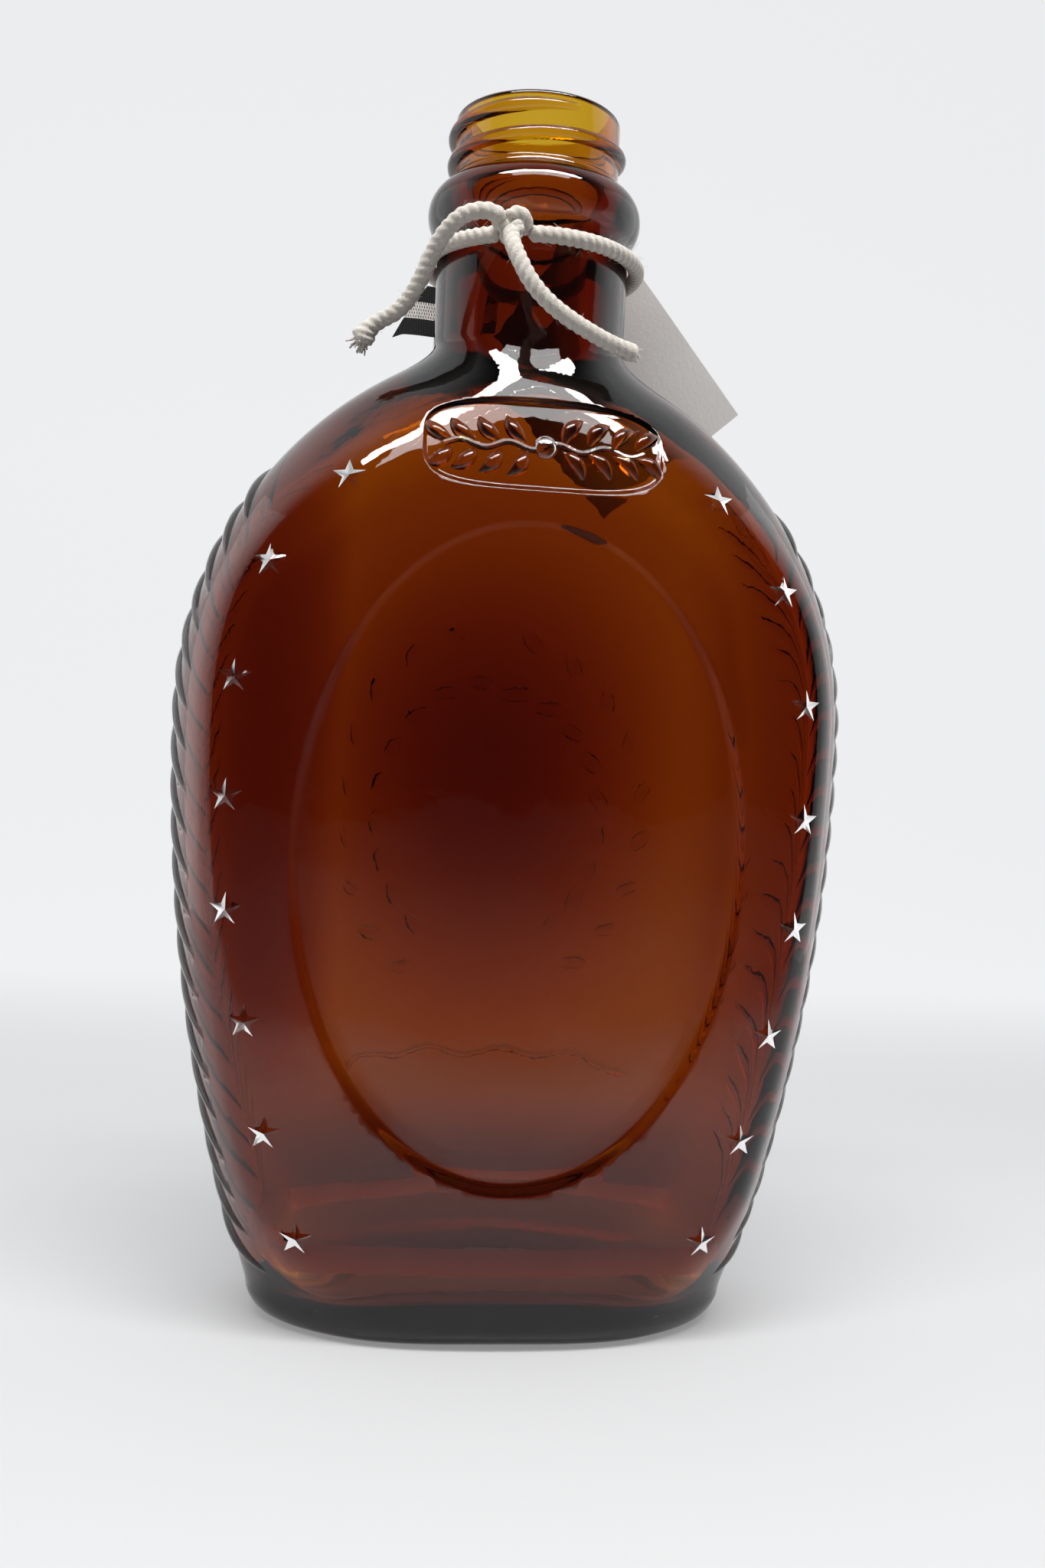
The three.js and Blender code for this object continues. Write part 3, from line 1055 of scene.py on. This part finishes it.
def loop_line():
    """The closed part of the cord: level round the neck from one side of the knot to the
    other, and standing off where it passes through the tag."""
    clear = 2.0 / LOOP_RADIUS
    azimuth = KNOT_AZIMUTH + np.linspace(clear, 2 * math.pi - clear, 420)
    degrees = np.degrees(azimuth)
    bulge = smoothstep(degrees, 62, 80) - smoothstep(degrees, 108, 150)
    radius = LOOP_RADIUS + LOOP_BULGE * bulge
    height = np.full(len(azimuth), LOOP_Z)
    return np.stack([radius * np.cos(azimuth), radius * np.sin(azimuth), height], axis=1)


def knot_parts(radius):
    """The knot: a cord that follows a small trefoil, pressed flat against the neck."""
    share = np.linspace(0, 2 * math.pi, 220, endpoint=False)
    across = 0.66 * (np.sin(share) + 2 * np.sin(2 * share))
    up = 0.60 * (np.cos(share) - 2 * np.cos(2 * share))
    out = 0.95 * -np.sin(3 * share)
    outward = np.array([math.cos(KNOT_AZIMUTH), math.sin(KNOT_AZIMUTH), 0.0])
    sideways = np.array([-outward[1], outward[0], 0.0])
    centre = outward * (KNOT_RADIUS + 0.2) + np.array([0.0, 0.0, LOOP_Z + 0.6])
    line = centre + across[:, None] * sideways + out[:, None] * outward
    line = line + up[:, None] * np.array([0.0, 0.0, 1.0])
    length = np.linspace(0, 7 * CORD_LAY, len(line))
    profile = strand_profile(length, 24, radius * 0.95)
    rings = tube_rings(line, profile, 24, closed=True)
    return [(rings.reshape(-1, 3), [ring_faces(*rings.shape[:2], closed=True)])]


class FLASK_OT_cord(bpy.types.Operator):
    """Makes the cotton cord, its knot and its two tails"""

    bl_idname = "flask.cord"
    bl_label = "Cotton cord"

    def execute(self, context):
        settings = context.scene.flask_cord
        cotton = cotton_material(settings)
        radius = settings.diameter / MM / 2
        loop = loop_line()
        made = object_from(
            "cord_round_neck",
            *gather(
                [cord_mesh(loop, radius)]
                + fibres(loop, 30, 3, 1.3, radius, (0.0, 0.32))
                + fibres(loop, 30, 4, 1.3, radius, (0.70, 1.0))
            ),
        )
        finish_piece(made, cotton, "cord", ["cord_loop"])
        knot = object_from("cord_overhand_knot", *gather(knot_parts(radius)))
        finish_piece(knot, cotton, "cord", ["cord_knot"])
        tails = (("left", LEFT_TAIL, 0.5, 46, 1.9, 7), ("right", RIGHT_TAIL, 0.12, 26, 1.0, 8))
        for side, route, flare, count, reach, seed in tails:
            line = along(route, 0.3)
            parts = [cord_mesh(line, radius, flare=flare)]
            parts += fray(line, seed, count, reach, 0.55)
            parts += fibres(line, 26, seed + 20, 0.9, radius, (0.0, 1.0))
            tail = object_from(f"cord_tail_{side}_end", *gather(parts))
            finish_piece(tail, cotton, "cord", [f"cord_tail_{side}"])
            path = (along(route, 1.0) * MM).tolist()
        return {"FINISHED"}


class FLASK_OT_tag(bpy.types.Operator):
    """Makes the hang tag"""

    bl_idname = "flask.tag"
    bl_label = "Hang tag"

    def execute(self, context):
        settings = context.scene.flask_tag
        wide = settings.width / MM
        tall = settings.length / MM
        across = np.linspace(-wide / 2, wide / 2, 42)
        up = np.linspace(TAG_ABOVE_HOLE - tall, TAG_ABOVE_HOLE, 50)
        a, b = np.meshgrid(across, up)
        curl = 0.0014 * (a * 0.8 - b * 0.6 - 6) ** 2 - 0.05
        curl *= smoothstep(-b, 5.0, 20.0)
        front = self.place(a, b, curl - CARD_HALF)
        back = self.place(a, b, curl + CARD_HALF)
        card = object_from("hang_tag_card", *thin_slab(front, back))
        angle = np.linspace(0, 2 * math.pi, 40, endpoint=False)
        round_x = TAG_HOLE_RADIUS * np.cos(angle)
        round_up = TAG_HOLE_RADIUS * np.sin(angle)
        drill = np.stack([self.place(round_x, round_up, lift) for lift in (-6, 6)])
        tool = object_from("tag_tool", *closed_skin(drill[::-1]))
        combine(card, tool, "DIFFERENCE")
        finish_piece(card, card_material(settings), "tag", ["paper_tag"], 40)
        return {"FINISHED"}

    @staticmethod
    def place(a, b, lift):
        """From the card's own plane, turned about the hole and leant back, to the frame."""
        lift = np.broadcast_to(lift, np.shape(a))
        x = a * math.cos(TAG_TURN) - b * math.sin(TAG_TURN)
        up = a * math.sin(TAG_TURN) + b * math.cos(TAG_TURN)
        y = lift * math.cos(TAG_LEAN) - up * math.sin(TAG_LEAN)
        z = lift * math.sin(TAG_LEAN) + up * math.cos(TAG_LEAN)
        return np.stack([TAG_HOLE[0] + x, TAG_HOLE[1] + y, TAG_HOLE[2] + z], axis=-1)


class FLASK_OT_ribbon(bpy.types.Operator):
    """Makes the ribbon end behind the neck"""

    bl_idname = "flask.ribbon"
    bl_label = "Ribbon end"

    def execute(self, context):
        settings = context.scene.flask_ribbon
        wide = settings.width / MM
        v = np.linspace(0, 1, 26)
        u = np.linspace(0, 1, 40)
        along_grid, across_grid = np.meshgrid(u, v, indexing="ij")
        left = -20.6 + 5.6 * across_grid
        x = -8.3 + (left + 8.3) * (1 - along_grid)
        tip = smoothstep(-x, 18.6, 21.0)
        z = 155.0 + wide * math.cos(math.radians(20)) * across_grid - 0.9 * tip
        y = 18.3 + wide * math.sin(math.radians(20)) * across_grid
        y = y + 0.35 * np.sin(math.pi * across_grid) - 0.9 * tip + 0.5 * np.sin(x * 0.45)
        middle = np.stack([x, y, z], axis=-1)
        front = middle - np.array([0.0, RIBBON_HALF, 0.0])
        back = middle + np.array([0.0, RIBBON_HALF, 0.0])
        ribbon = object_from("ribbon_end", *thin_slab(front, back))
        layer = ribbon.data.uv_layers.new(name="weave")
        loops = np.empty(len(ribbon.data.loops), dtype=np.int32)
        ribbon.data.loops.foreach_get("vertex_index", loops)
        flat = np.stack([(x / wide).ravel(), across_grid.ravel()], axis=1)
        layer.data.foreach_set("uv", np.concatenate([flat, flat])[loops].ravel())
        finish_piece(
            ribbon, ribbon_material(settings), "cord", ["tag_ribbon"], 50
        )
        return {"FINISHED"}


class FLASK_OT_stage(bpy.types.Operator):
    """Makes the floor, the sweep, the lights and the camera"""

    bl_idname = "flask.stage"
    bl_label = "Studio"

    def execute(self, context):
        settings = context.scene.flask_stage
        turn = np.linspace(0, math.pi / 2, 20)[1:]
        depth = np.concatenate([np.linspace(-1500, 420, 12), 420 + 260 * np.sin(turn), [680.0]])
        height = np.concatenate([np.zeros(12), 260 * (1 - np.cos(turn)), [1500.0]])
        x = np.linspace(-1600, 1600, 12)
        across, back = np.meshgrid(x, depth)
        up = np.broadcast_to(height[:, None], across.shape)
        points = np.stack([across, back, up], axis=-1).reshape(-1, 3)
        row, column = np.meshgrid(np.arange(len(depth) - 1), np.arange(11), indexing="ij")
        here = (row * 12 + column).ravel()
        quads = np.stack([here, here + 1, here + 13, here + 12], axis=-1)
        sweep = object_from("studio_sweep", points, [quads])
        sweep.data.materials.append(self.sweep_material(settings))
        panels = (
            ("softbox", (0.0, -0.155, 0.475), (0.0, 0.0, 0.0), (0.42, 0.06), settings.softbox),
            ("left_panel", (-0.33, 0.10, 0.2), (0, -math.pi / 2, 0), (0.4, 0.4), settings.sides),
            ("right_panel", (0.33, 0.10, 0.2), (0, math.pi / 2, 0), (0.4, 0.4), settings.sides),
            ("front_fill", (0.0, -0.31, 0.62), (0.55, 0.0, 0.0), (0.50, 0.16), settings.fill),
        )
        stage = [sweep, self.led_strip()]
        for name, place, turned, size, power in panels:
            lamp = bpy.data.lights.new(name, "AREA")
            lamp.shape = "RECTANGLE"
            lamp.size, lamp.size_y = size
            lamp.energy = power
            panel = bpy.data.objects.new(name, lamp)
            panel.location = place
            panel.rotation_euler = turned
            context.scene.collection.objects.link(panel)
            stage.append(panel)
        world = bpy.data.worlds.new("studio")
        context.scene.world = world
        self.surroundings(world, settings.sky)
        camera = bpy.data.objects.new("camera", bpy.data.cameras.new("camera"))
        camera.data.lens = 35.0
        camera.data.sensor_width = 36.0
        camera.location = (-0.02815, -0.23533, 0.0815)
        camera.rotation_euler = (math.pi / 2, -0.0465, -0.1286)
        camera.data.clip_start = 0.01
        camera.data.dof.use_dof = False
        context.scene.collection.objects.link(camera)
        context.scene.camera = camera
        context.scene.view_settings.view_transform = "Standard"
        return {"FINISHED"}

    @staticmethod
    def sweep_material(settings):
        """Pale paper, lit from behind where it rises, with painted shade far in front of the flask,
        where the studio ends:
        there its colour and its glow fall to dark grey in place of the studio's light falling off."""
        graph = Graph.of_material("studio_paper")
        _, y, _ = graph.split(graph.place())
        # painted shade: far in front of the flask the floor's colour and its glow fall to dark
        # grey, standing in for the studio's light falling off
        away = graph.ramp(y, -0.085, -0.21)
        rising = graph.ramp(y, 0.08, 0.42)
        color = graph.mix(away, rgba(settings.floor), (0.17, 0.17, 0.175, 1.0))
        color = graph.mix(rising, color, (0.10, 0.10, 0.105, 1.0))
        glow = graph.mix(rising * 0.68 + 0.29, (0.0, 0.0, 0.0, 1.0), rgba(settings.backdrop))
        glow = graph.mix(away, glow, (0.0, 0.0, 0.0, 1.0))
        graph.surface(
            {
                "Base Color": color,
                "Roughness": 0.95,
                "Specular IOR Level": 0.0,
                "Emission Color": glow,
                "Emission Strength": 1.0,
            }
        )
        return graph.owner

    @staticmethod
    def led_strip():
        """A row of small square lamps, level with the softbox and in front of it."""
        centre = np.arange(-12, 13) * 13.0
        corner = np.array([[-3.2, -3.2], [3.2, -3.2], [3.2, 3.2], [-3.2, 3.2]])
        spots = np.zeros((len(centre), 4, 3))
        spots[..., 0] = centre[:, None] + corner[None, :, 0]
        spots[..., 1] = -228 - corner[None, :, 1] * 0.7
        spots[..., 2] = 466 + corner[None, :, 1] * 0.7
        quads = np.arange(len(centre) * 4).reshape(-1, 4)
        strip = object_from("lamp_strip", spots.reshape(-1, 3), [quads], smooth=False)
        strip.data.materials.append(lamp_material((1.0, 0.98, 0.95), 70.0))
        return strip

    @staticmethod
    def surroundings(world, strength):
        """A pale room behind and beside the flask that falls to a dark one in front of it."""
        graph = Graph(world, "ShaderNodeOutputWorld")
        _, y, _ = graph.split(graph.add("ShaderNodeTexCoord", output="Generated"))
        level = graph.ramp(y, -0.35, 0.25, 0.04, 1.0) * strength
        color = (0.97, 0.985, 1.0, 1.0)
        light = graph.add("ShaderNodeBackground", None, {"Color": color, "Strength": level})
        graph.tree.links.new(light.socket, graph.output.inputs["Surface"])


class FLASK_PT_panel(bpy.types.Panel):
    """Lists the flask's pieces"""

    bl_label = "Flask"
    bl_idname = "FLASK_PT_panel"
    bl_space_type = "VIEW_3D"
    bl_region_type = "UI"
    bl_category = "Flask"

    def draw(self, context):
        for name, group in GROUPS.items():
            box = self.layout.box()
            box.operator(f"flask.{name}")
            settings = getattr(context.scene, f"flask_{name}")
            for key in group.__annotations__:
                box.prop(settings, key)


GROUPS = {
    "glass": FlaskGlassSettings,
    "cord": FlaskCordSettings,
    "tag": FlaskTagSettings,
    "ribbon": FlaskRibbonSettings,
    "stage": FlaskStageSettings,
}
CLASSES = (
    *GROUPS.values(),
    FLASK_OT_glass,
    FLASK_OT_cord,
    FLASK_OT_tag,
    FLASK_OT_ribbon,
    FLASK_OT_stage,
    FLASK_PT_panel,
)


def register():
    for cls in CLASSES:
        bpy.utils.register_class(cls)
    for name, group in GROUPS.items():
        setattr(bpy.types.Scene, f"flask_{name}", PointerProperty(type=group))


def unregister():
    for name in GROUPS:
        delattr(bpy.types.Scene, f"flask_{name}")
    for cls in reversed(CLASSES):
        bpy.utils.unregister_class(cls)


def main():
    register()
    for name in GROUPS:
        getattr(bpy.ops.flask, name)()


if __name__ == "__main__":
    main()
